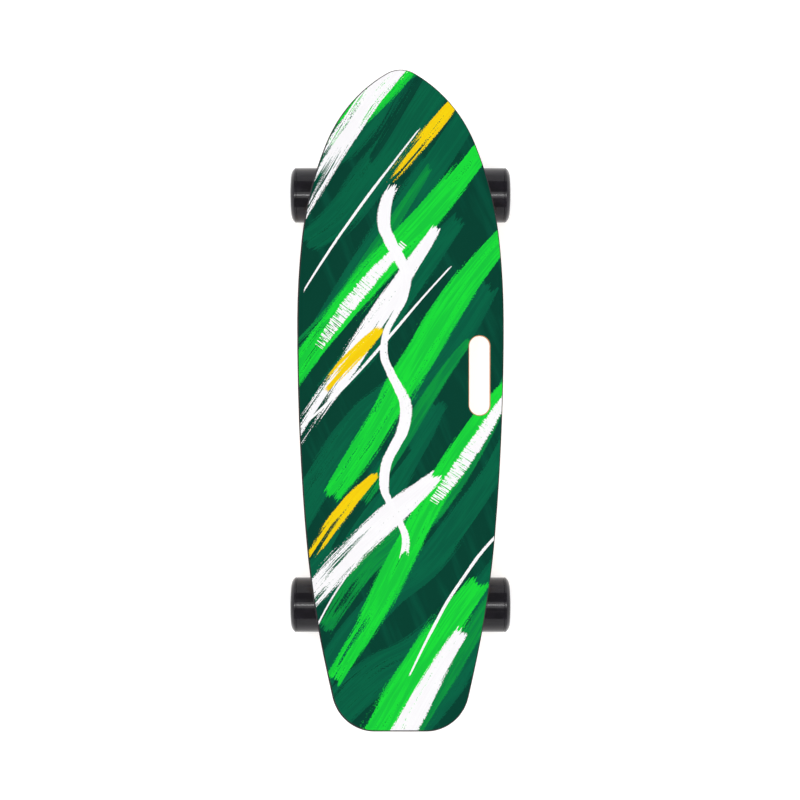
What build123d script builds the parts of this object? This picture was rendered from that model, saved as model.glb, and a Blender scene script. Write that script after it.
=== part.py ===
"""Cruiser skateboard: deck with a handle slot, printed grip sheet, two trucks, four wheels.

Frame: millimetres, +X to the nose, +Y to the left side of the deck, +Z up,
origin on the ground under the middle of the board.  Every piece is modelled where it rests.
"""
import math
import os

from build123d import *

# --- deck -------------------------------------------------------------------------------
# The half outline is a chain of tangent arcs from the nose tip to the flat of the tail.
OUTLINE_ARCS = (
    (30.0, 29.5),
    (148.0, 38.3),
    (380.0, 16.0),
    (816.0, 6.0),
    (2640.0, 5.0),
    (1066.0, 9.3),
    (46.0, 75.9),
)
DECK_LENGTH = 700.0
DECK_BOTTOM = 86.0
DECK_THICKNESS = 11.0
CONCAVE_FLAT_HALF = 34.0
CONCAVE_RADIUS = 580.0
SECTION_HALF = 125.0
FLAT_HALF_LENGTH = 272.0
TAIL_KICK = 14.0
TAIL_KICK_RADIUS = 150.0
NOSE_KICK = 7.0
NOSE_KICK_RADIUS = 200.0
PATH_END = 380.0
TOP_EDGE_RADIUS = 0.8
BOTTOM_EDGE_RADIUS = 3.2

SLOT_LENGTH = 84.0
SLOT_WIDTH = 21.5
SLOT_X = 26.0
SLOT_Y = -84.0

SHEET_THICKNESS = 0.8
SHEET_INSET = 1.25
SHEET_SHIFT = 0.3
SHEET_SLOT_MARGIN = 0.9

# --- truck, measured outwards from its axle (front truck; the rear one is turned round) ---
AXLE_X = 225.4
AXLE_Z = 30.0
RISER_THICKNESS = 3.0
BOLT_CENTRE = -4.0
BOLT_HALF_LENGTH = 27.0
BOLT_HALF_WIDTH = 20.65
BOLT_RADIUS = 2.42
BOLT_HOLE_RADIUS = 2.75
BOLT_HEAD_RADIUS = 4.8
BOLT_LENGTH = 26.4

PLATE_LENGTH = 80.0
PLATE_WIDTH = 57.0
PLATE_THICKNESS = 5.5
PLATE_CORNER = 8.0

RING_X = -19.0
RING_Z = 48.0
KINGPIN_LEAN = 20.0
KINGPIN_RADIUS = 4.76
PIVOT_X = 20.0
PIVOT_Z = 70.0
PIVOT_NOSE_RADIUS = 6.8
PIVOT_CUP_WALL = 3.0

HANGER_HALF = 84.5
HOUSING_RADIUS = 8.5
AXLE_RADIUS = 3.97
AXLE_HALF = 117.5

# Heights along the kingpin, from the middle of the hanger ring.
RING_HALF = 4.0
RING_SEAT = 3.0
BOARDSIDE_TOP = 17.5
PLATE_SEAT = 19.5
HEAD_SEAT = 27.0
HEAD_TOP = 32.5
ROADSIDE_LOW = -15.0
NUT_SEAT = -17.0
NUT_HEIGHT = 10.0
KINGPIN_END = -29.0

# --- wheel and bearing --------------------------------------------------------------------
WHEEL_Y = 97.5
WHEEL_RADIUS = 30.0
CORE_RADIUS = 16.5
CORE_HALF = 14.0
BEARING_OUTER = 11.0
BEARING_HALF = 3.5
BEARING_OFFSET = 8.5
BALL_RADIUS = 1.984
BALL_PITCH = 7.5
BALL_COUNT = 7
RACE_GROOVE = 2.05

GAP = 0.03


# --- helpers --------------------------------------------------------------------------------
def turned(points):
    """Solid of revolution about Z from a closed outline of (radius, height) points."""
    outline = Polyline(*[(radius, 0, height) for radius, height in points], close=True)
    return revolve(make_face(outline), Axis.Z)


def turned_from(curves):
    """Solid of revolution about Z from connected curves already drawn in the XZ plane."""
    return revolve(make_face(curves), Axis.Z)


def tube(inner, outer, low, high):
    """Ring about Z between two radii and two heights."""
    return turned([(inner, low), (outer, low), (outer, high), (inner, high)])


def rod(radius, low, high):
    """Cylinder about Z between two heights."""
    return Pos(0, 0, low) * Cylinder(radius, high - low, align=(Align.CENTER, Align.CENTER, Align.MIN))


def threaded_rod(radius, plain_low, plain_high, thread_end, pitch):
    """Rod about Z whose stretch from plain_low down to thread_end carries ring grooves."""
    depth = 0.6 * pitch
    turns = int((plain_low - thread_end - 0.3) / pitch)
    points = [(0, plain_high), (radius, plain_high), (radius, plain_low)]
    for turn in range(turns):
        start = plain_low - turn * pitch
        points.append((radius - depth, start - pitch / 2))
        points.append((radius, start - pitch))
    points.append((radius - depth, thread_end))
    points.append((0, thread_end))
    return turned(points)


def hex_prism(across_flats, low, high):
    """Hexagonal prism about Z with chamfered corners."""
    profile = RegularPolygon(across_flats / 2, 6, major_radius=False)
    body = Pos(0, 0, low) * extrude(profile, high - low)
    corner = across_flats / 2 / math.cos(math.pi / 6)
    slope = corner - across_flats / 2
    body &= turned([
        (0, low),
        (across_flats / 2, low),
        (corner, low + slope / 2),
        (corner, high - slope / 2),
        (across_flats / 2, high),
        (0, high),
    ])
    return body


def lock_nut(across_flats, bore, seat, height):
    """Nut about Z hanging down from its seat: hexagon, then the round collar of the insert."""
    hexagon = hex_prism(across_flats, seat - 0.72 * height, seat)
    collar_radius = 0.44 * across_flats
    collar = turned([
        (0, seat - height),
        (collar_radius - 0.8, seat - height),
        (collar_radius, seat - height + 0.8),
        (collar_radius, seat - 0.5 * height),
        (0, seat - 0.5 * height),
    ])
    return hexagon + collar - rod(bore, seat - height - 1, seat + 1)


def group(*shapes):
    """One node holding every solid of the given shapes."""
    return Compound([solid for shape in shapes for solid in shape.solids()])


# --- deck -------------------------------------------------------------------------------------
def half_outline():
    """Start, middle and end of each arc of the left half outline, brought to the deck's length."""
    x, y, heading = 0.0, 0.0, math.pi / 2
    spans = []
    for radius, sweep_deg in OUTLINE_ARCS:
        centre_x = x - radius * math.sin(heading)
        centre_y = y + radius * math.cos(heading)
        points = [(x, y)]
        for part in (0.5, 1.0):
            angle = heading + part * math.radians(sweep_deg)
            points.append((centre_x + radius * math.sin(angle), centre_y - radius * math.cos(angle)))
        heading += math.radians(sweep_deg)
        x, y = points[-1]
        spans.append(points)
    scale = DECK_LENGTH / -x
    return [[(px * scale + DECK_LENGTH / 2, py * scale) for px, py in points] for points in spans]


def deck_outline():
    """Face of the deck seen from above, with the tail cut straight."""
    spans = half_outline()
    left = [ThreePointArc(*points) for points in spans]
    right = [ThreePointArc(*[(px, -py) for px, py in points]) for points in spans]
    tail_x, tail_y = spans[-1][-1]
    return make_face(left + right + [Line((tail_x, tail_y), (tail_x, -tail_y))])


def kick_point(kick_deg, radius):
    """Distance from mid-board of the corner that the kick's arc rounds off, and its rise at the end."""
    corner = FLAT_HALF_LENGTH + radius * math.tan(math.radians(kick_deg / 2))
    rise = (PATH_END - corner) * math.tan(math.radians(kick_deg))
    return corner, rise


def deck_layer(low, high):
    """Curved slab between two heights above the underside of the deck, longer and wider than it."""
    tail_corner, tail_rise = kick_point(TAIL_KICK, TAIL_KICK_RADIUS)
    nose_corner, nose_rise = kick_point(NOSE_KICK, NOSE_KICK_RADIUS)
    path = FilletPolyline(
        (-PATH_END, 0, DECK_BOTTOM + tail_rise),
        (-tail_corner, 0, DECK_BOTTOM),
        (nose_corner, 0, DECK_BOTTOM),
        (PATH_END, 0, DECK_BOTTOM + nose_rise),
        radius=(TAIL_KICK_RADIUS, NOSE_KICK_RADIUS),
    )
    turn = math.asin((SECTION_HALF - CONCAVE_FLAT_HALF) / CONCAVE_RADIUS)
    edges = []
    for height in (low, high):
        radius = CONCAVE_RADIUS - height
        for side in (-1, 1):
            arc = [
                (side * (CONCAVE_FLAT_HALF + radius * math.sin(angle)),
                 height + radius * (1 - math.cos(angle)))
                for angle in (0, turn / 2, turn)
            ]
            edges.append(ThreePointArc(*arc))
        edges.append(Line((-CONCAVE_FLAT_HALF, height), (CONCAVE_FLAT_HALF, height)))
    for side in (-1, 1):
        ends = [
            (side * (CONCAVE_FLAT_HALF + (CONCAVE_RADIUS - height) * math.sin(turn)),
             height + (CONCAVE_RADIUS - height) * (1 - math.cos(turn)))
            for height in (low, high)
        ]
        edges.append(Line(*ends))
    section = Plane(origin=path @ 0, x_dir=(0, 1, 0), z_dir=path % 0) * make_face(edges)
    return sweep(section, path=path)


def rim_edges(solid, upward):
    """Edges where the upright walls meet the top (+1) or bottom (-1) of a slab."""
    caps = [face for face in solid.faces() if face.normal_at().Z * upward > 0.5]
    walls = [face for face in solid.faces() if abs(face.normal_at().Z) < 0.3]
    cap_edges = {edge for face in caps for edge in face.edges()}
    return ShapeList([edge for face in walls for edge in face.edges() if edge in cap_edges])


def bolt_points():
    """Places of the eight truck bolts as (x, y), front truck first."""
    return [
        (end * (AXLE_X + BOLT_CENTRE + along * BOLT_HALF_LENGTH), across * BOLT_HALF_WIDTH)
        for end in (1, -1)
        for along in (1, -1)
        for across in (1, -1)
    ]


def make_deck():
    """Maple deck with rounded edges, the handle slot and eight countersunk holes."""
    blank = deck_layer(0, DECK_THICKNESS)
    cutter = deck_outline() - Pos(SLOT_X, SLOT_Y) * SlotOverall(SLOT_LENGTH, SLOT_WIDTH)
    deck = (blank & extrude(cutter, 200)).solid()
    deck = fillet(rim_edges(deck, -1), BOTTOM_EDGE_RADIUS)
    deck = fillet(rim_edges(deck, 1), TOP_EDGE_RADIUS)
    top = DECK_BOTTOM + DECK_THICKNESS
    sink = BOLT_HEAD_RADIUS + 0.5
    hole = turned([
        (0, DECK_BOTTOM - 1),
        (BOLT_HOLE_RADIUS, DECK_BOTTOM - 1),
        (BOLT_HOLE_RADIUS, top - sink + BOLT_HOLE_RADIUS),
        (sink, top),
        (sink, top + 1),
        (0, top + 1),
    ])
    for x, y in bolt_points():
        deck -= Pos(x, y) * hole
    return deck


def make_sheet():
    """Printed grit sheet on the deck, trimmed a little off-centre and open over the slot."""
    slab = deck_layer(DECK_THICKNESS, DECK_THICKNESS + SHEET_THICKNESS)
    shape = Pos(SHEET_SHIFT, -SHEET_SHIFT) * offset(deck_outline(), -SHEET_INSET)
    window = SlotOverall(SLOT_LENGTH + 2 * SHEET_SLOT_MARGIN, SLOT_WIDTH + 2 * SHEET_SLOT_MARGIN)
    return slab & extrude(shape - Pos(SLOT_X, SLOT_Y) * window, 200)


# --- truck --------------------------------------------------------------------------------------
PLATE_TOP = DECK_BOTTOM - RISER_THICKNESS
PLATE_BOTTOM = PLATE_TOP - PLATE_THICKNESS
PIVOT_ANGLE = math.degrees(math.atan2(PIVOT_Z - RING_Z, PIVOT_X - RING_X))
on_kingpin = Location((RING_X, 0, RING_Z), (0, KINGPIN_LEAN, 0))
on_pivot = Location((PIVOT_X, 0, PIVOT_Z), (0, 90 - PIVOT_ANGLE, 0))
on_axle = Location((0, 0, AXLE_Z), (-90, 0, 0))


def plate_pattern(radius):
    """Four circles on the bolt pattern of one truck."""
    spots = GridLocations(2 * BOLT_HALF_LENGTH, 2 * BOLT_HALF_WIDTH, 2, 2)
    return Pos(BOLT_CENTRE, 0) * Sketch([spot * Circle(radius) for spot in spots])


def make_riser():
    """Rubber riser pad with bolt holes and two windows."""
    pad = RectangleRounded(PLATE_LENGTH + 2, PLATE_WIDTH + 2, PLATE_CORNER + 1)
    kingpin_window = Pos(-2, 0) * RectangleRounded(26, 24, 4)
    pivot_window = Pos(24, 0) * RectangleRounded(14, 18, 3)
    profile = Pos(BOLT_CENTRE, 0) * (pad - kingpin_window - pivot_window)
    return Pos(0, 0, PLATE_TOP) * extrude(profile - plate_pattern(BOLT_HOLE_RADIUS), RISER_THICKNESS)


def make_baseplate():
    """Cast baseplate: flange, kingpin boss with ribs, pivot socket."""
    cup_radius = PIVOT_NOSE_RADIUS + PIVOT_CUP_WALL + GAP
    flange = RectangleRounded(PLATE_LENGTH, PLATE_WIDTH, PLATE_CORNER)
    body = Pos(BOLT_CENTRE, 0, PLATE_BOTTOM) * extrude(flange, PLATE_THICKNESS)
    body = fillet(body.faces().sort_by(Axis.Z)[0].edges(), 1.5)
    boss = turned([(0, PLATE_SEAT), (12.5, PLATE_SEAT), (15.5, 34), (15.5, 50), (0, 50)])
    body += on_kingpin * boss
    body += on_pivot * turned([(0, -5), (12, -5), (13.4, -3), (13.4, 17), (0, 17)])
    for side in (1, -1):
        rib = Polyline(
            (0, PLATE_BOTTOM + 1),
            (side * 25, PLATE_BOTTOM + 1),
            (side * 24, PLATE_BOTTOM - 1.5),
            (side * 10, PLATE_BOTTOM - 8),
            (0, PLATE_BOTTOM - 8),
            close=True,
        )
        body += Plane(origin=(-9.5, 0, 0), x_dir=(0, 1, 0), z_dir=(1, 0, 0)) * extrude(
            make_face(rib), 2.5, both=True)
    spine = Polyline(
        (-12, PLATE_BOTTOM + 1),
        (-40, PLATE_BOTTOM + 1),
        (-40, PLATE_BOTTOM - 1),
        (-22, PLATE_BOTTOM - 7),
        (-12, PLATE_BOTTOM - 7),
        close=True,
    )
    body += extrude(Plane.XZ * make_face(spine), 3, both=True)
    body &= Pos(0, 0, PLATE_TOP - 60) * Box(200, 200, 60, align=(Align.CENTER, Align.CENTER, Align.MIN))
    body -= on_kingpin * rod(KINGPIN_RADIUS + 0.15, PLATE_SEAT - 1, HEAD_SEAT + 1)
    body -= on_kingpin * rod(9.2, HEAD_SEAT, 50)
    body -= on_pivot * (rod(cup_radius, -20, 0) + Sphere(cup_radius))
    body -= Pos(0, 0, PLATE_BOTTOM - 20) * extrude(plate_pattern(BOLT_HOLE_RADIUS), 40)
    for x in (BOLT_CENTRE - BOLT_HALF_LENGTH, BOLT_CENTRE + BOLT_HALF_LENGTH):
        for y in (-BOLT_HALF_WIDTH, BOLT_HALF_WIDTH):
            body -= Pos(x, y, PLATE_BOTTOM - 20) * rod(6.2, 0, 20)
    return body


def make_pivot_cup():
    """Urethane cup round the hanger's pivot nose."""
    outer = PIVOT_NOSE_RADIUS + PIVOT_CUP_WALL
    inner = PIVOT_NOSE_RADIUS + 0.05
    cup = rod(outer, -5, 0) + (Sphere(outer) & rod(outer, 0, outer))
    return on_pivot * (cup - rod(inner, -20, 0) - Sphere(inner))


def make_kingpin():
    """Kingpin bolt with a hexagonal head in the baseplate and a threaded lower end."""
    shank = threaded_rod(KINGPIN_RADIUS, NUT_SEAT + 3, HEAD_SEAT + 1, KINGPIN_END, 1.06)
    return on_kingpin * (shank + hex_prism(14.3, HEAD_SEAT, HEAD_TOP))


def make_boardside_bushing():
    """Barrel-shaped urethane bushing between the ring and the baseplate."""
    middle = (RING_SEAT + BOARDSIDE_TOP) / 2
    bore = KINGPIN_RADIUS + 0.12
    return on_kingpin * turned_from([
        Line((bore, 0, RING_SEAT), (10.8, 0, RING_SEAT)),
        ThreePointArc((10.8, 0, RING_SEAT), (12, 0, middle), (10.8, 0, BOARDSIDE_TOP)),
        Line((10.8, 0, BOARDSIDE_TOP), (bore, 0, BOARDSIDE_TOP)),
        Line((bore, 0, BOARDSIDE_TOP), (bore, 0, RING_SEAT)),
    ])


def make_roadside_bushing():
    """Cone-shaped urethane bushing between the ring and the kingpin nut."""
    bore = KINGPIN_RADIUS + 0.12
    return on_kingpin * turned([
        (bore, -RING_SEAT),
        (11.2, -RING_SEAT),
        (11.2, -RING_SEAT - 2.5),
        (9.2, ROADSIDE_LOW + 1),
        (8.8, ROADSIDE_LOW),
        (bore, ROADSIDE_LOW),
    ])


def make_bushing_washers():
    """Cupped washers above the boardside and below the roadside bushing."""
    bore = KINGPIN_RADIUS + 0.1
    upper = turned([
        (bore, BOARDSIDE_TOP),
        (11.5, BOARDSIDE_TOP),
        (11.5, BOARDSIDE_TOP - 1.3),
        (12.4, BOARDSIDE_TOP - 1.3),
        (12.4, PLATE_SEAT),
        (bore, PLATE_SEAT),
    ])
    lower = turned([
        (bore, ROADSIDE_LOW),
        (9.6, ROADSIDE_LOW),
        (9.6, ROADSIDE_LOW + 1.1),
        (10.4, ROADSIDE_LOW + 1.1),
        (10.4, NUT_SEAT),
        (bore, NUT_SEAT),
    ])
    return on_kingpin * group(upper, lower)


def make_kingpin_nut():
    """Lock nut under the roadside washer."""
    return on_kingpin * lock_nut(14.3, KINGPIN_RADIUS + GAP, NUT_SEAT, NUT_HEIGHT)


def make_hanger():
    """Cast hanger: axle housing, web, ring round the kingpin, neck and pivot nose."""
    housing = on_axle * turned([
        (0, -HANGER_HALF),
        (HOUSING_RADIUS - 1, -HANGER_HALF),
        (HOUSING_RADIUS, -HANGER_HALF + 1),
        (HOUSING_RADIUS, HANGER_HALF - 1),
        (HOUSING_RADIUS - 1, HANGER_HALF),
        (0, HANGER_HALF),
    ])
    web = loft([
        Pos(0.5, 0, AXLE_Z) * RectangleRounded(16, 96, 4),
        Pos(3, 0, 51) * RectangleRounded(18, 30, 4),
    ])
    ring_shape = Circle(17) + make_face(Polyline((0, -16.9), (24, -22), (24, 22), (0, 16.9), close=True))
    ring = on_kingpin * (Pos(0, 0, -RING_HALF) * extrude(ring_shape, 2 * RING_HALF))
    pin_start = on_pivot * Pos(0, 0, -10)
    neck_root = Vector(3, 0, 45)
    neck_axis = pin_start.position - neck_root
    neck_lean = math.degrees(math.atan2(neck_axis.X, neck_axis.Z))
    neck = Location(tuple(neck_root), (0, neck_lean, 0)) * turned([
        (0, -4),
        (12, -4),
        (7.2, neck_axis.length),
        (0, neck_axis.length),
    ])
    pin = on_pivot * (rod(6.3, -10, 0) + Sphere(PIVOT_NOSE_RADIUS) + Pos(0, 0, -10) * Sphere(7.2))
    body = housing + web + ring + neck + pin
    body -= on_kingpin * rod(8.5, -60, 60)
    body -= on_kingpin * rod(15.5, RING_HALF, 60)
    body -= on_kingpin * rod(14.5, -60, -RING_HALF)
    body -= on_kingpin * rod(12.3, RING_SEAT, RING_HALF + 1)
    body -= on_kingpin * rod(12.3, -RING_HALF - 1, -RING_SEAT)
    body -= on_axle * rod(AXLE_RADIUS + GAP, -HANGER_HALF - 1, HANGER_HALF + 1)
    return body


def make_axle():
    """Steel axle with ring-grooved threads at both ends."""
    half = threaded_rod(AXLE_RADIUS, -AXLE_HALF + 11, 0, -AXLE_HALF, 1.06)
    return on_axle * (half + Rot(180, 0, 0) * half)


def along_axle(shape, *offsets):
    """Copies of a shape, symmetric about its own middle, at places along the axle on both sides."""
    return group(*[
        on_axle * Pos(0, 0, side * offset_y) * shape
        for side in (1, -1)
        for offset_y in offsets
    ])


def make_axle_nuts():
    """Lock nuts outside the wheels."""
    nut = lock_nut(12.7, AXLE_RADIUS + GAP, -WHEEL_Y - BEARING_OFFSET - BEARING_HALF - 1, 7)
    return on_axle * group(nut, Rot(180, 0, 0) * nut)


def make_deck_bolts():
    """Countersunk bolts through deck, riser and baseplate, with hexagonal sockets."""
    top = DECK_BOTTOM + DECK_THICKNESS - 0.05
    low = top - BOLT_LENGTH
    shank = threaded_rod(BOLT_RADIUS, low + 8, top - 1, low, 0.8)
    cone = BOLT_HEAD_RADIUS - BOLT_RADIUS
    head = turned([
        (0, top),
        (BOLT_HEAD_RADIUS, top),
        (BOLT_HEAD_RADIUS, top - 0.3),
        (BOLT_RADIUS, top - 0.3 - cone),
        (0, top - 0.3 - cone),
    ])
    bolt = shank + head - hex_prism(3.0, top - 2, top + 1)
    return at_bolts(bolt)


def make_deck_nuts():
    """Lock nuts under the baseplate."""
    return at_bolts(lock_nut(9.5, BOLT_RADIUS + GAP, PLATE_BOTTOM, 5.4))


def at_bolts(shape):
    """Four copies of a shape on the bolt pattern of one truck."""
    spots = GridLocations(2 * BOLT_HALF_LENGTH, 2 * BOLT_HALF_WIDTH, 2, 2)
    return group(*[Pos(BOLT_CENTRE, 0) * spot * shape for spot in spots])


# --- wheel and bearing ------------------------------------------------------------------------
def make_tyre():
    """Urethane tyre with rounded lips, a fine groove near each tread corner and dished sides."""
    half = [
        (CORE_RADIUS + GAP, 0),
        (CORE_RADIUS + GAP, CORE_HALF),
        (19.0, 21.4),
        (20.2, 22.4),
    ]
    lip = ThreePointArc((20.2, 0, 22.4), (25.8, 0, 21.5), (29.4, 0, 18.8))
    rim = [
        (29.4, 18.8),
        (WHEEL_RADIUS, 18.0),
        (WHEEL_RADIUS, 16.2),
        (WHEEL_RADIUS - 0.35, 15.8),
        (WHEEL_RADIUS, 15.4),
        (WHEEL_RADIUS, 0),
    ]
    curves = [lip]
    curves += [Line((a[0], 0, a[1]), (b[0], 0, b[1])) for a, b in zip(half, half[1:])]
    curves += [Line((a[0], 0, a[1]), (b[0], 0, b[1])) for a, b in zip(rim, rim[1:])]
    curves += [Line((WHEEL_RADIUS, 0, 0), (CORE_RADIUS + GAP, 0, 0))]
    upper = turned_from(curves)
    return upper + mirror(upper, about=Plane.XY)


def make_core():
    """Nylon core with two bearing seats and a shoulder between them."""
    seat = BEARING_OFFSET - BEARING_HALF
    outer_seat = BEARING_OFFSET + BEARING_HALF
    half = [
        (9.0, 0),
        (9.0, seat),
        (BEARING_OUTER + 0.02, seat),
        (BEARING_OUTER + 0.02, outer_seat),
        (BEARING_OUTER + 1.2, CORE_HALF),
        (CORE_RADIUS, CORE_HALF),
        (CORE_RADIUS, 0),
    ]
    return turned(half + [(radius, -height) for radius, height in reversed(half[1:-1])])


def make_outer_race():
    """Outer ring of one bearing with its ball groove."""
    ring = tube(8.9, BEARING_OUTER, -BEARING_HALF, BEARING_HALF)
    return ring - Torus(BALL_PITCH, RACE_GROOVE)


def make_inner_race():
    """Inner ring of one bearing with its ball groove."""
    ring = tube(AXLE_RADIUS + GAP, 6.1, -BEARING_HALF, BEARING_HALF)
    return ring - Torus(BALL_PITCH, RACE_GROOVE)


def make_shields():
    """Two thin shields of one bearing."""
    outside = BEARING_HALF - 0.2
    shield = tube(6.3, 8.88, outside - 0.3, outside)
    return group(shield, mirror(shield, about=Plane.XY))


def ball_places():
    """Places of the balls in one bearing."""
    return PolarLocations(BALL_PITCH, BALL_COUNT)


def make_cage():
    """Ball cage of one bearing."""
    cage = tube(6.7, 8.3, -2.6, 2.6)
    for place in ball_places():
        cage -= place * Rot(0, 90, 0) * Cylinder(RACE_GROOVE, 4)
    return cage


def make_balls():
    """Balls of one bearing."""
    return group(*[place * Sphere(BALL_RADIUS) for place in ball_places()])


def in_wheel(shape, x, y, paired=False):
    """Place a wheel piece on its axle; paired pieces sit once in each bearing."""
    offsets = (-BEARING_OFFSET, BEARING_OFFSET) if paired else (0,)
    return group(*[Pos(x, 0, 0) * on_axle * Pos(0, 0, y + offset_y) * shape for offset_y in offsets])


# --- assembly ---------------------------------------------------------------------------------
def build_truck():
    """All pieces of the front truck, by name."""
    washer = tube(AXLE_RADIUS + GAP, 7.5, -0.5, 0.5)
    spacer = tube(AXLE_RADIUS + GAP, 6.0, BEARING_HALF - BEARING_OFFSET, BEARING_OFFSET - BEARING_HALF)
    race_places = (WHEEL_Y - BEARING_OFFSET, WHEEL_Y + BEARING_OFFSET)
    outer_face = BEARING_OFFSET + BEARING_HALF + 0.5
    return {
        "riser_pad": make_riser(),
        "baseplate": make_baseplate(),
        "pivot_cup": make_pivot_cup(),
        "kingpin": make_kingpin(),
        "kingpin_nut": make_kingpin_nut(),
        "bushing_washers": make_bushing_washers(),
        "boardside_bushing": make_boardside_bushing(),
        "roadside_bushing": make_roadside_bushing(),
        "deck_bolts": make_deck_bolts(),
        "deck_nuts": make_deck_nuts(),
        "hanger": make_hanger(),
        "axle": make_axle(),
        "axle_nuts": make_axle_nuts(),
        "speed_washers": along_axle(washer, WHEEL_Y - outer_face, WHEEL_Y + outer_face),
        "bearing_inner_races": along_axle(make_inner_race(), *race_places),
        "bearing_spacers": along_axle(spacer, WHEEL_Y),
    }


def build_nodes():
    """Every node of the board, by name."""
    nodes = {"deck": make_deck(), "grip_sheet": make_sheet()}
    truck = build_truck()
    wheel = {
        "tyre": (make_tyre(), False),
        "core": (make_core(), False),
        "bearing_outer_races": (make_outer_race(), True),
        "bearing_shields": (make_shields(), True),
        "bearing_cages": (make_cage(), True),
        "bearing_balls": (make_balls(), True),
    }
    for end, direction in (("front", 1), ("rear", -1)):
        turn = Rot(0, 0, 90 - 90 * direction)
        for name, shape in truck.items():
            nodes[f"{end}_{name}"] = turn * Pos(AXLE_X, 0, 0) * shape
        for side, y in (("left", WHEEL_Y), ("right", -WHEEL_Y)):
            for name, (shape, paired) in wheel.items():
                nodes[f"{end}_{side}_{name}"] = in_wheel(shape, direction * AXLE_X, y, paired)
    return nodes


os.makedirs("parts", exist_ok=True)
for node_name, node_shape in build_nodes().items():
    export_step(node_shape, f"parts/{node_name}.step")
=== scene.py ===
"""Looks of the cruiser skateboard: printed deck, cast trucks, black urethane wheels, pale studio."""
import math
import random

import bpy
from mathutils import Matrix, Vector


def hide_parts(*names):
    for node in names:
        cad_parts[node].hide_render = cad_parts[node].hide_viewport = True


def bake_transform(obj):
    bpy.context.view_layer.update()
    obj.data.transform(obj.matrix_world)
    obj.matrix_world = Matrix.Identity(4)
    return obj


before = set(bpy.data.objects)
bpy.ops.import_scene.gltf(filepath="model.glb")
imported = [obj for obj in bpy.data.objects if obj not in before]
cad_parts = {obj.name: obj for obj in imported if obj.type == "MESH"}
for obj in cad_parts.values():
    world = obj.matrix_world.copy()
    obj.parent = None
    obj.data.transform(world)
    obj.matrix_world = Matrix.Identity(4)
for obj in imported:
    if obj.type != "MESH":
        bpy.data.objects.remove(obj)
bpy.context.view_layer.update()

# Sizes of the object in millimetres, in the row frame.
DECK_BOTTOM = 86.0
DECK_THICKNESS = 11.0
PLY_COUNT = 7
CONCAVE_FLAT_HALF = 34.0
CONCAVE_RADIUS = 580.0
DECK_HALF_LENGTH = 350.0
FLAT_HALF_LENGTH = 272.0
TAIL_KICK = math.radians(14)
TAIL_KICK_RADIUS = 150.0
NOSE_KICK = math.radians(7)
NOSE_KICK_RADIUS = 200.0
SLOT_X = 26.0
SLOT_Y = -84.0
SLOT_STRAIGHT_HALF = 31.25
SLOT_RADIUS = 10.75

# Face size of the cast pieces in metres, and how many times their edges are relaxed.
CASTING_GRID = 0.0008
CASTING_SMOOTHING = 6

# Bushings: where each meets its washer and the ring, along the kingpin, and its face size in metres.
BUSHING_SEATS = (
    ("boardside_bushing", 17.5, 3.0),
    ("roadside_bushing", -15.0, -3.0),
)
BUSHING_GRID = 0.0006

# Ranges that the curve nodes of a stroke or of the deck's rise can hold, in millimetres, and how
# many spans the curve of the rise has.
BEND_RANGE = 64.0
WIDTH_RANGE = 40.0
RISE_RANGE = 20.0
RISE_STEPS = 28


# --- node helpers -----------------------------------------------------------------------------
def srgb(red, green, blue):
    """Linear colour from 0 to 255 display values."""
    def linear(value):
        value /= 255
        return value / 12.92 if value <= 0.04045 else ((value + 0.055) / 1.055) ** 2.4
    return (linear(red), linear(green), linear(blue), 1.0)


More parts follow.
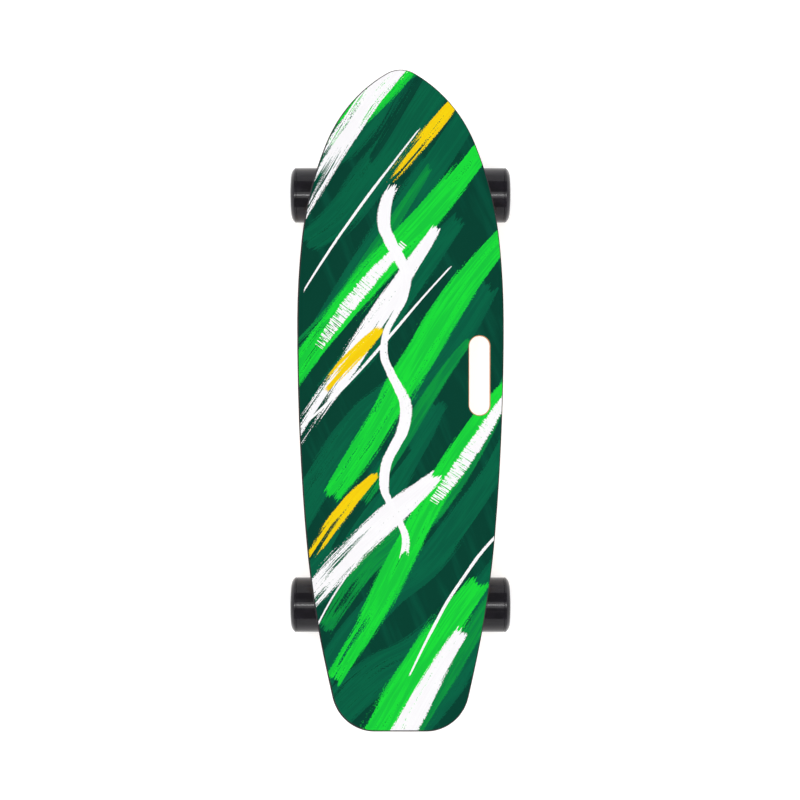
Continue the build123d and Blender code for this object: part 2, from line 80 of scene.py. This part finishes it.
class Graph:
    """Short calls for building one node tree."""

    def __init__(self, tree):
        self.tree = tree

    def feed(self, socket, value):
        if isinstance(value, bpy.types.NodeSocket):
            self.tree.links.new(value, socket)
        else:
            socket.default_value = value

    def node(self, kind, inputs=(), **settings):
        made = self.tree.nodes.new(kind)
        for name, value in settings.items():
            setattr(made, name, value)
        for key, value in dict(inputs).items():
            self.feed(made.inputs[key], value)
        return made

    def math(self, operation, first, second=0.0, third=0.0):
        inputs = {0: first, 1: second, 2: third}
        return self.node("ShaderNodeMath", inputs, operation=operation).outputs[0]

    def ramp(self, value, low, high, to_low=0.0, to_high=1.0):
        inputs = {"Value": value, "From Min": low, "From Max": high, "To Min": to_low, "To Max": to_high}
        return self.node("ShaderNodeMapRange", inputs).outputs["Result"]

    def mix(self, factor, first, second):
        inputs = {"Factor": factor, 6: first, 7: second}
        return self.node("ShaderNodeMix", inputs, data_type="RGBA").outputs[2]

    def vector(self, x, y, z=0.0):
        return self.node("ShaderNodeCombineXYZ", {0: x, 1: y, 2: z}).outputs[0]

    def split(self, vector):
        return self.node("ShaderNodeSeparateXYZ", {0: vector}).outputs

    def place(self):
        """Position on the object in millimetres, in the row frame at rest."""
        coordinates = self.node("ShaderNodeTexCoord").outputs["Object"]
        inputs = {0: coordinates, "Scale": 1000.0}
        return self.node("ShaderNodeVectorMath", inputs, operation="SCALE").outputs[0]

    def stretched(self, vector, sizes, turn=0.0):
        """Coordinates where one unit is the given size in millimetres along each axis."""
        turned = self.node("ShaderNodeMapping", {"Vector": vector, "Rotation": (0, 0, turn), "Scale": sizes},
                           vector_type="TEXTURE")
        return turned.outputs[0]

    def noise(self, vector, detail=2.0, roughness=0.5, distortion=0.0, scale=1.0, flat=False):
        """Noise between 0 and 1; flat noise ignores the third coordinate and is cheaper."""
        inputs = {"Vector": vector, "Scale": scale, "Detail": detail, "Roughness": roughness,
                  "Distortion": distortion}
        dimensions = "2D" if flat else "3D"
        return self.node("ShaderNodeTexNoise", inputs, noise_dimensions=dimensions).outputs[0]

    def curve(self, value, points):
        """Smooth curve through (input, output) points, both between 0 and 1."""
        made = self.node("ShaderNodeFloatCurve", {"Value": value})
        line = made.mapping.curves[0]
        while len(line.points) < len(points):
            line.points.new(0.5, 0.5)
        for point, place in zip(line.points, points):
            point.location = place
            point.handle_type = "AUTO_CLAMPED"
        made.mapping.update()
        return made.outputs[0]

    def bump(self, height, strength, distance):
        inputs = {"Height": height, "Strength": strength, "Distance": distance}
        return self.node("ShaderNodeBump", inputs).outputs[0]


def new_material(name, **settings):
    """Material with a Principled shader. Settings are its sockets, with _ for a space."""
    material = bpy.data.materials.new(name)
    material.use_nodes = True
    graph = Graph(material.node_tree)
    surface = material.node_tree.nodes["Principled BSDF"]
    for key, value in settings.items():
        surface.inputs[key.replace("_", " ")].default_value = value
    return material, graph, surface


# --- printed sheet ----------------------------------------------------------------------------
DEEP = srgb(3, 64, 49)
PINE = srgb(4, 80, 60)
EMERALD = srgb(5, 99, 68)
LEAF = srgb(12, 150, 62)
GREEN = srgb(26, 219, 58)
YELLOW = srgb(247, 212, 12)
AMBER = srgb(238, 184, 16)
WHITE = srgb(252, 251, 253)
PALE = srgb(236, 230, 237)

BRISTLES = (75.0, 1.5)
CROSS_BRISTLES = (1.4, 14.0)

# Families of brush strokes from the lowest layer up: paint, second tone and its share, number of
# strokes, then the ranges of half width, of dryness and of the share of the deck's width crossed,
# and the length and width of the bristle marks.
FAMILIES = (
    (EMERALD, PINE, 0.5, 9, (13, 23), (0.0, 0.4), (0.6, 1.1), BRISTLES),
    (DEEP, PINE, 0.3, 3, (5, 9), (0.1, 0.6), (0.3, 0.6), BRISTLES),
    (LEAF, EMERALD, 0.5, 5, (7, 13), (0.3, 0.9), (0.4, 0.9), BRISTLES),
    (GREEN, LEAF, 0.35, 5, (14, 24), (0.1, 0.6), (0.6, 1.1), BRISTLES),
    (WHITE, PALE, 0.2, 4, (7, 14), (0.1, 0.8), (0.5, 1.0), BRISTLES),
    (YELLOW, AMBER, 0.3, 4, (5, 8), (0.5, 1.0), (0.25, 0.4), BRISTLES),
    (WHITE, PALE, 0.0, 4, (0.9, 1.8), (0.0, 0.1), (0.4, 0.7), BRISTLES),
    (WHITE, PALE, 0.2, 2, (6, 9), (0.5, 0.7), (0.25, 0.4), CROSS_BRISTLES),
)
LAYOUT_SEED = 8

# Size of the printed area, points on a stroke, how far it may start off the sheet as a share of the
# width, and the run along the deck and the sideways bend of one that crosses the whole width.
PRINT_LENGTH = 800.0
PRINT_WIDTH = 250.0
STROKE_POINTS = 6
STROKE_OVERHANG = 0.05
STROKE_RUN = (230, 400)
STROKE_BEND = 30

# The plain wave down the middle of the sheet: its points, its height and half width, and how many
# radians each of them turns from one point to the next.
WAVE_NOSE_END = 230.0
WAVE_STEP = 20.0
WAVE_POINTS = 21
WAVE_MIDDLE = 6.0
WAVE_HEIGHT = 12.0
WAVE_TURN = 0.9
WAVE_HALF_WIDTH = 5.2
WAVE_SWELL = 1.4
WAVE_SWELL_TURN = 0.6


def crossing(chance, middle, half_width, dryness, span):
    """Points (x, y, half width, dryness) of a stroke from the right edge down towards the left one."""
    first = chance.uniform(-STROKE_OVERHANG, 1 + STROKE_OVERHANG - span)
    run = chance.uniform(*STROKE_RUN)
    bend = chance.uniform(-STROKE_BEND, STROKE_BEND)
    points = []
    for step in range(STROKE_POINTS):
        part = step / (STROKE_POINTS - 1)
        across = first + span * part
        x = middle - run * (across - 0.5) + bend * math.sin(2 * math.pi * across)
        y = PRINT_WIDTH * (across - 0.5)
        # About half as wide at both ends as in the middle.
        swell = 0.2 + 0.8 * math.sin(math.pi * (0.1 + 0.75 * part))
        points.append((x, y, half_width * swell, dryness * part ** 2))
    return points


def brush_strokes():
    """Every stroke of the families, spread along the deck, as (paint, second, share, points, bristles)."""
    chance = random.Random(LAYOUT_SEED)
    strokes = []
    for paint, second, share, count, widths, dryness, spans, bristles in FAMILIES:
        pitch = PRINT_LENGTH / count
        for turn in range(count):
            middle = PRINT_LENGTH / 2 - pitch * (turn + chance.uniform(0.2, 0.8))
            points = crossing(chance, middle, chance.uniform(*widths), chance.uniform(*dryness),
                              chance.uniform(*spans))
            strokes.append((paint, second, share, points, bristles))
    return strokes


def wave_stroke():
    """White wave along the middle of the deck."""
    points = []
    for step in range(WAVE_POINTS):
        side = WAVE_HEIGHT * math.sin(WAVE_TURN * step)
        half_width = WAVE_HALF_WIDTH + WAVE_SWELL * math.sin(WAVE_SWELL_TURN * step)
        points.append((WAVE_NOSE_END - WAVE_STEP * step, WAVE_MIDDLE + side, half_width, 0.0))
    return (WHITE, PALE, 0.1, points, BRISTLES)


def brush_group():
    """Node group that lays one brush stroke over a colour."""
    tree = bpy.data.node_groups.new("brush_stroke", "ShaderNodeTree")
    for name, kind in (("Base", "Color"), ("Paint", "Color"), ("Second", "Color"), ("Share", "Float"),
                       ("Along", "Float"), ("Across", "Float"), ("Length", "Float"),
                       ("Half Width", "Float"), ("Dryness", "Float"), ("Fibre Length", "Float"),
                       ("Fibre Width", "Float"), ("Seed", "Float"), ("Grain", "Float")):
        tree.interface.new_socket(name, in_out="INPUT", socket_type=f"NodeSocket{kind}")
    tree.interface.new_socket("Color", in_out="OUTPUT", socket_type="NodeSocketColor")
    graph = Graph(tree)
    given = graph.node("NodeGroupInput").outputs
    along, across = given["Along"], given["Across"]

    # Bristle marks, drawn out along the stroke, and specks of the sheet's grain.
    run = graph.math("ADD", graph.math("DIVIDE", along, given["Fibre Length"]), given["Seed"])
    side = graph.math("DIVIDE", across, given["Fibre Width"])
    fine = graph.noise(graph.vector(run, side), detail=2.0, roughness=0.6, flat=True)
    broad_side = graph.math("MULTIPLY", side, 0.28)
    broad = graph.noise(graph.vector(run, broad_side), detail=0.0, flat=True)
    bristle = graph.math("ADD", graph.math("MULTIPLY", fine, 0.6), graph.math("MULTIPLY", broad, 0.4))
    level = graph.ramp(bristle, 0.36, 0.64)
    speck = graph.math("SUBTRACT", given["Grain"], 0.5)

    # Paint that lies on every bristle where it is wet, and on fewer and fewer where it is dry.
    limit = graph.math("MULTIPLY_ADD", given["Dryness"], 1.15, -0.15)
    rough_level = graph.math("MULTIPLY_ADD", speck, 0.8, level)
    wet = graph.ramp(graph.math("SUBTRACT", rough_level, limit), -0.04, 0.04)

    # Uneven sides.
    swell = graph.math("MULTIPLY_ADD", graph.math("SUBTRACT", bristle, 0.5), 0.9, 1.0)
    swell = graph.math("MULTIPLY_ADD", speck, 0.4, swell)
    inside = graph.math("SUBTRACT", graph.math("MULTIPLY", given["Half Width"], swell),
                        graph.math("ABSOLUTE", across))
    edge = graph.ramp(inside, -0.12, 0.16)

    # Ragged ends.
    to_end = graph.math("MINIMUM", along, graph.math("SUBTRACT", given["Length"], along))
    ragged = graph.math("MULTIPLY_ADD", graph.math("SUBTRACT", level, 1.0), 9.0, to_end)
    ends = graph.ramp(ragged, 0.0, 0.6)

    cover = graph.math("MULTIPLY", graph.math("MULTIPLY", wet, edge), ends)
    tone = graph.math("MULTIPLY", graph.ramp(bristle, 0.47, 0.56), given["Share"])
    paint = graph.mix(tone, given["Paint"], given["Second"])
    graph.node("NodeGroupOutput", {"Color": graph.mix(cover, given["Base"], paint)})
    return tree


def lay_stroke(graph, group, place, grain, base, stroke, seed):
    """Colour with one more stroke on it."""
    paint, second, share, points, bristles = stroke
    (start_x, start_y), (end_x, end_y) = points[0][:2], points[-1][:2]
    length = math.hypot(end_x - start_x, end_y - start_y)
    turn = math.atan2(end_y - start_y, end_x - start_x)
    # A vanishing share of the colour below chains the strokes, so they are worked out one by one.
    after_base = graph.node("ShaderNodeVectorMath", {0: base, 1: (1e-9, 1e-9, 1e-9), 2: place},
                            operation="MULTIPLY_ADD").outputs[0]
    inputs = {"Vector": after_base, "Location": (start_x, start_y, 0), "Rotation": (0, 0, turn),
              "Scale": (length, 1, 1)}
    own = graph.split(graph.node("ShaderNodeMapping", inputs, vector_type="TEXTURE").outputs[0])
    middle, width, dryness = [], [], []
    for x, y, half_width, dry in points:
        ahead = ((x - start_x) * math.cos(turn) + (y - start_y) * math.sin(turn)) / length
        aside = (y - start_y) * math.cos(turn) - (x - start_x) * math.sin(turn)
        middle.append((ahead, 0.5 + aside / 2 / BEND_RANGE))
        width.append((ahead, half_width / WIDTH_RANGE))
        dryness.append((ahead, dry))
    centre = graph.math("MULTIPLY", graph.math("SUBTRACT", graph.curve(own[0], middle), 0.5), 2 * BEND_RANGE)
    made = graph.node("ShaderNodeGroup", node_tree=group)
    for key, value in {
        "Base": base,
        "Paint": paint,
        "Second": second,
        "Share": share,
        "Along": graph.math("MULTIPLY", own[0], length),
        "Across": graph.math("SUBTRACT", own[1], centre),
        "Length": length,
        "Half Width": graph.math("MULTIPLY", graph.curve(own[0], width), WIDTH_RANGE),
        "Dryness": graph.curve(own[0], dryness),
        "Fibre Length": bristles[0],
        "Fibre Width": bristles[1],
        "Seed": 13.7 * seed,
        "Grain": grain,
    }.items():
        graph.feed(made.inputs[key], value)
    return made.outputs[0]


def printed_sheet():
    """Brush-stroke print under clear grit."""
    material, graph, surface = new_material("printed_sheet", Specular_IOR_Level=0.03)
    place = graph.place()
    flow = graph.noise(graph.stretched(place, (190, 20, 1), 0.4), detail=3.0, roughness=0.6, flat=True)
    grain = graph.noise(place, detail=1.0, scale=0.8, flat=True)
    colour = graph.mix(graph.ramp(flow, 0.5, 0.68, 0.0, 0.8), DEEP, PINE)
    group = brush_group()
    for seed, stroke in enumerate(brush_strokes() + [wave_stroke()]):
        colour = lay_stroke(graph, group, place, grain, colour, stroke, seed)
    graph.feed(surface.inputs["Base Color"], colour)
    grit = graph.noise(graph.stretched(place, (0.5, 0.5, 0.5)), detail=2.0, roughness=0.7)
    graph.feed(surface.inputs["Normal"], graph.bump(grit, 0.12, 0.0002))
    graph.feed(surface.inputs["Roughness"], graph.ramp(grit, 0.3, 0.7, 0.55, 0.7))
    return material


# --- deck -------------------------------------------------------------------------------------
def kick_rise(x):
    """Height of the deck's middle line above its flat, in millimetres."""
    angle, radius = (TAIL_KICK, TAIL_KICK_RADIUS) if x < 0 else (NOSE_KICK, NOSE_KICK_RADIUS)
    run = abs(x) - FLAT_HALF_LENGTH
    if run <= 0:
        return 0.0
    if run < radius * math.sin(angle):
        return radius - math.sqrt(radius * radius - run * run)
    return (run - radius * math.tan(angle / 2)) * math.tan(angle)


def maple():
    """Lacquered maple with stained edges, ply lines and a bare slot wall."""
    material, graph, surface = new_material("maple", Specular_IOR_Level=0.3)
    place = graph.place()
    x, y, z = graph.split(place)
    rises = []
    for step in range(RISE_STEPS + 1):
        part = step / RISE_STEPS
        rises.append((part, kick_rise(DECK_HALF_LENGTH * (2 * part - 1)) / RISE_RANGE))
    along = graph.ramp(x, -DECK_HALF_LENGTH, DECK_HALF_LENGTH)
    rise = graph.math("MULTIPLY", graph.curve(along, rises), RISE_RANGE)
    beyond = graph.math("MAXIMUM", graph.math("SUBTRACT", graph.math("ABSOLUTE", y), CONCAVE_FLAT_HALF), 0.0)
    concave = graph.math("DIVIDE", graph.math("MULTIPLY", beyond, beyond), 2 * CONCAVE_RADIUS)
    height = graph.math("SUBTRACT", graph.math("SUBTRACT", z, DECK_BOTTOM), graph.math("ADD", rise, concave))

    rings = graph.noise(graph.stretched(place, (420, 22, 60)), detail=3.0, roughness=0.55, distortion=0.3)
    bands = graph.math("FRACT", graph.math("MULTIPLY", rings, 9.0))
    fibre = graph.noise(graph.stretched(place, (38, 0.7, 0.7)), detail=3.0, roughness=0.6)
    light, mid, dark = srgb(236, 205, 160), srgb(216, 172, 122), srgb(184, 134, 88)
    wood = graph.mix(graph.ramp(bands, 0.1, 0.95, 0.0, 0.75), light, mid)
    wood = graph.mix(graph.ramp(fibre, 0.5, 0.72, 0.0, 0.5), wood, dark)

    # Plies of the edge: every other one is darker, with a thin line of glue between them.
    ply = graph.math("MULTIPLY", height, PLY_COUNT / DECK_THICKNESS)
    odd = graph.math("GREATER_THAN", graph.math("FRACT", graph.math("MULTIPLY", ply, 0.5)), 0.5)
    off_middle = graph.math("ABSOLUTE", graph.math("SUBTRACT", graph.math("FRACT", ply), 0.5))
    glue = graph.ramp(off_middle, 0.43, 0.49, 0.0, 0.6)
    end_grain = graph.mix(graph.math("MULTIPLY", odd, 0.5), srgb(232, 176, 128), srgb(196, 128, 92))
    end_grain = graph.mix(graph.ramp(fibre, 0.45, 0.7, 0.0, 0.4), end_grain, dark)
    end_grain = graph.mix(glue, end_grain, srgb(110, 66, 44))

    # Distance from the slot's middle line, since the slot's wall isn't stained.
    slot_run = graph.math("SUBTRACT", graph.math("ABSOLUTE", graph.math("SUBTRACT", x, SLOT_X)),
                          SLOT_STRAIGHT_HALF)
    slot_run = graph.math("MAXIMUM", slot_run, 0.0)
    slot_side = graph.math("SUBTRACT", y, SLOT_Y)
    from_slot = graph.node("ShaderNodeVectorMath", {0: graph.vector(slot_run, slot_side)},
                           operation="LENGTH").outputs["Value"]
    near_slot = graph.ramp(from_slot, SLOT_RADIUS + 3.6, SLOT_RADIUS + 3.0)

    stain = graph.mix(graph.math("MULTIPLY", odd, 0.35), srgb(30, 28, 34), srgb(44, 36, 44))
    stain = graph.mix(graph.ramp(fibre, 0.5, 0.7, 0.0, 0.5), stain, srgb(18, 16, 20))
    stain = graph.mix(graph.math("MULTIPLY", glue, 0.8), stain, srgb(10, 9, 11))
    side = graph.mix(near_slot, stain, end_grain)
    above = graph.ramp(height, 1.4, 1.7)
    graph.feed(surface.inputs["Base Color"], graph.mix(above, wood, side))
    graph.feed(surface.inputs["Roughness"], graph.ramp(fibre, 0.3, 0.7, 0.32, 0.48))
    graph.feed(surface.inputs["Normal"], graph.bump(fibre, 0.12, 0.0004))
    return material


# --- other materials --------------------------------------------------------------------------
def grained(name, colour, second, size, metallic=0.0, roughness=(0.3, 0.5), bump=0.1, depth=0.0003,
            stretch=(1, 1, 1), **settings):
    """Surface whose colour, gloss and height all follow one fine noise."""
    material, graph, surface = new_material(name, Metallic=metallic, **settings)
    place = graph.place()
    fine = graph.noise(graph.stretched(place, tuple(size * part for part in stretch)), detail=3.0,
                       roughness=0.65)
    broad = graph.noise(graph.stretched(place, (30 * size, 30 * size, 30 * size)), detail=2.0)
    both = graph.math("ADD", graph.math("MULTIPLY", fine, 0.5), graph.math("MULTIPLY", broad, 0.5))
    graph.feed(surface.inputs["Base Color"], graph.mix(graph.ramp(both, 0.35, 0.65), colour, second))
    graph.feed(surface.inputs["Roughness"], graph.ramp(both, 0.35, 0.65, *roughness))
    graph.feed(surface.inputs["Normal"], graph.bump(fine, bump, depth))
    return material


def wheel_urethane():
    """Glossy black urethane with faint turning lines."""
    material, graph, surface = new_material("wheel_urethane", Specular_IOR_Level=0.36)
    place = graph.place()
    lines = graph.noise(graph.stretched(place, (60, 0.8, 60)), detail=2.0, roughness=0.6)
    cloud = graph.noise(graph.stretched(place, (14, 14, 14)), detail=3.0)
    colour = graph.mix(graph.ramp(cloud, 0.4, 0.7), srgb(12, 10, 18), srgb(24, 21, 31))
    graph.feed(surface.inputs["Base Color"], colour)
    graph.feed(surface.inputs["Roughness"], graph.ramp(cloud, 0.35, 0.65, 0.1, 0.17))
    graph.feed(surface.inputs["Normal"], graph.bump(lines, 0.05, 0.0002))
    return material


def build_materials():
    """Material of every node of the frame, by the last part of the node's name."""
    cast = grained("cast_aluminium", srgb(188, 189, 192), srgb(150, 151, 155), 0.9, metallic=1.0,
                   roughness=(0.32, 0.5), bump=0.25)
    zinc = grained("zinc_steel", srgb(200, 202, 206), srgb(168, 170, 172), 0.6, metallic=1.0,
                   roughness=(0.2, 0.34), bump=0.06)
    ground = grained("ground_steel", srgb(196, 197, 200), srgb(160, 161, 164), 0.5, metallic=1.0,
                     roughness=(0.16, 0.3), bump=0.05, stretch=(40, 0.6, 40))
    bearing = grained("bearing_steel", srgb(214, 215, 220), srgb(186, 188, 192), 0.4, metallic=1.0,
                      roughness=(0.08, 0.2), bump=0.03, stretch=(30, 0.6, 30))
    bushing = grained("bushing_urethane", srgb(22, 150, 66), srgb(14, 118, 52), 1.2,
                      roughness=(0.3, 0.42), bump=0.05, Subsurface_Weight=0.15,
                      Subsurface_Scale=0.003)
    rubber = grained("riser_rubber", srgb(24, 24, 25), srgb(36, 36, 37), 0.7, roughness=(0.6, 0.8), bump=0.2)
    black_urethane = grained("cup_urethane", srgb(20, 20, 22), srgb(30, 30, 32), 0.8,
                             roughness=(0.35, 0.5), bump=0.08)
    black_steel = grained("black_steel", srgb(34, 34, 37), srgb(48, 47, 50), 0.6, metallic=0.9,
                          roughness=(0.3, 0.45), bump=0.06)
    nylon = grained("core_nylon", srgb(24, 24, 27), srgb(38, 38, 42), 0.9, roughness=(0.4, 0.55), bump=0.15)
    shield = grained("bearing_shield", srgb(18, 18, 20), srgb(30, 30, 32), 0.5,
                     roughness=(0.35, 0.5), bump=0.1)
    cage = grained("cage_nylon", srgb(226, 222, 206), srgb(204, 198, 180), 0.5,
                   roughness=(0.4, 0.55), bump=0.08)
    return {
        "deck": maple(),
        "grip_sheet": printed_sheet(),
        "riser_pad": rubber,
        "baseplate": cast,
        "hanger": cast,
        "pivot_cup": black_urethane,
        "kingpin": zinc,
        "kingpin_nut": zinc,
        "bushing_washers": zinc,
        "boardside_bushing": bushing,
        "roadside_bushing": bushing,
        "deck_bolts": black_steel,
        "deck_nuts": zinc,
        "axle": ground,
        "axle_nuts": zinc,
        "speed_washers": zinc,
        "bearing_inner_races": bearing,
        "bearing_spacers": ground,
        "tyre": wheel_urethane(),
        "core": nylon,
        "bearing_outer_races": bearing,
        "bearing_shields": shield,
        "bearing_cages": cage,
        "bearing_balls": bearing,
    }


# --- shapes -----------------------------------------------------------------------------------
def dress(materials):
    """Give every node of the frame its material."""
    for name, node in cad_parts.items():
        kind = max((key for key in materials if name == key or name.endswith("_" + key)), key=len)
        node.data.materials.clear()
        node.data.materials.append(materials[kind])


def soften_castings():
    """Round off the sharp meetings of the cast pieces, as a mould leaves them."""
    for name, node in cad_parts.items():
        if name.endswith(("baseplate", "hanger")):
            even = node.modifiers.new("even_faces", "REMESH")
            even.mode = "VOXEL"
            even.voxel_size = CASTING_GRID
            even.use_smooth_shade = True
            relax = node.modifiers.new("cast_edges", "SMOOTH")
            relax.factor = 0.5
            relax.iterations = CASTING_SMOOTHING


def bend_bushings():
    """Remeshed copies of the urethane bushings, shown in place of the frame's own ones."""
    for end, direction in (("front", 1), ("rear", -1)):
        for kind, washer_seat, ring_seat in BUSHING_SEATS:
            name = f"{end}_{kind}"
            bushing = bpy.data.objects.new(f"{name}_soft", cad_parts[name].data.copy())
            bpy.context.collection.objects.link(bushing)
            even = bushing.modifiers.new("even_faces", "REMESH")
            even.mode = "VOXEL"
            even.voxel_size = BUSHING_GRID
            even.use_smooth_shade = True
            with bpy.context.temp_override(object=bushing, active_object=bushing):
                bpy.ops.object.modifier_apply(modifier=even.name)
            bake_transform(bushing)
            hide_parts(name)


# --- studio -----------------------------------------------------------------------------------
# Flat of the floor, its sweep up into the wall and the wall's height, in metres.
FLOOR_RADIUS = 5.0
SWEEP_RADIUS = 2.5
SWEEP_STEPS = 16
WALL_TOP = 5.0
FLOOR_SIDES = 96

# Soft lights: name, place and size (along X, along Y) in metres, and watts.
SOFTBOXES = (
    ("key", (0.9, 1.3, 2.6), (1.6, 1.6), 11),
    ("fill", (-1.2, -1.5, 2.4), (2.0, 2.0), 7),
    ("overhead", (0.0, 0.0, 2.8), (1.2, 2.6), 15),
    ("strip", (0.0, 0.0, 2.6), (0.12, 1.6), 9),
)
LIGHT_TARGET = (0, 0, 0.08)
WORLD_STRENGTH = 0.34

CAMERA_PLACE = (0, 0.0005, 1.974)
CAMERA_LENS = 79.4
CAMERA_SENSOR = 36


def floor_profile():
    """Rings of the floor as (radius, height): its flat, its sweep and the wall."""
    profile = [(FLOOR_RADIUS - SWEEP_RADIUS, 0.0), (FLOOR_RADIUS, 0.0)]
    for step in range(1, SWEEP_STEPS + 1):
        angle = step / SWEEP_STEPS * math.pi / 2
        out, up = SWEEP_RADIUS * math.sin(angle), SWEEP_RADIUS * (1 - math.cos(angle))
        profile.append((FLOOR_RADIUS + out, up))
    profile.append((FLOOR_RADIUS + SWEEP_RADIUS, WALL_TOP))
    return profile


def build_floor():
    """Pale floor under the wheels that sweeps up into a pale wall all round."""
    profile = floor_profile()
    vertices = []
    for radius, height in profile:
        for turn in range(FLOOR_SIDES):
            angle = 2 * math.pi * turn / FLOOR_SIDES
            vertices.append((radius * math.cos(angle), radius * math.sin(angle), height))
    faces = [tuple(range(FLOOR_SIDES))]
    for ring in range(len(profile) - 1):
        for turn in range(FLOOR_SIDES):
            here = ring * FLOOR_SIDES + turn
            beside = ring * FLOOR_SIDES + (turn + 1) % FLOOR_SIDES
            faces.append((here, here + FLOOR_SIDES, beside + FLOOR_SIDES, beside))
    mesh = bpy.data.meshes.new("floor")
    mesh.from_pydata(vertices, [], faces)
    mesh.shade_smooth()
    material = new_material("pale_floor", Base_Color=srgb(205, 205, 205), Roughness=0.95,
                            Specular_IOR_Level=0.0, Emission_Color=(1, 1, 1, 1),
                            Emission_Strength=0.62)[0]
    mesh.materials.append(material)
    floor = bpy.data.objects.new("floor", mesh)
    bpy.context.collection.objects.link(floor)


def add_softbox(name, place, size, watts):
    """Rectangular area light that faces the board."""
    data = bpy.data.lights.new(name, "AREA")
    data.shape = "RECTANGLE"
    data.size, data.size_y = size
    data.energy = watts
    light = bpy.data.objects.new(name, data)
    bpy.context.collection.objects.link(light)
    light.location = place
    away = light.location - Vector(LIGHT_TARGET)
    light.rotation_euler = away.to_track_quat("Z", "Y").to_euler()


def build_lights():
    """Pale surroundings and soft lights."""
    world = bpy.data.worlds.new("studio")
    bpy.context.scene.world = world
    world.use_nodes = True
    back = world.node_tree.nodes["Background"]
    back.inputs["Color"].default_value = (1, 1, 1, 1)
    back.inputs["Strength"].default_value = WORLD_STRENGTH
    for softbox in SOFTBOXES:
        add_softbox(*softbox)


def build_camera():
    """Camera straight above the board, with the nose at the top of the picture."""
    data = bpy.data.cameras.new("camera")
    data.lens = CAMERA_LENS
    data.sensor_width = CAMERA_SENSOR
    camera = bpy.data.objects.new("camera", data)
    bpy.context.collection.objects.link(camera)
    camera.location = CAMERA_PLACE
    camera.rotation_euler = (0, 0, -math.pi / 2)
    bpy.context.scene.camera = camera


bpy.context.scene.view_settings.view_transform = "Standard"
dress(build_materials())
soften_castings()
bend_bushings()
build_floor()
build_lights()
build_camera()
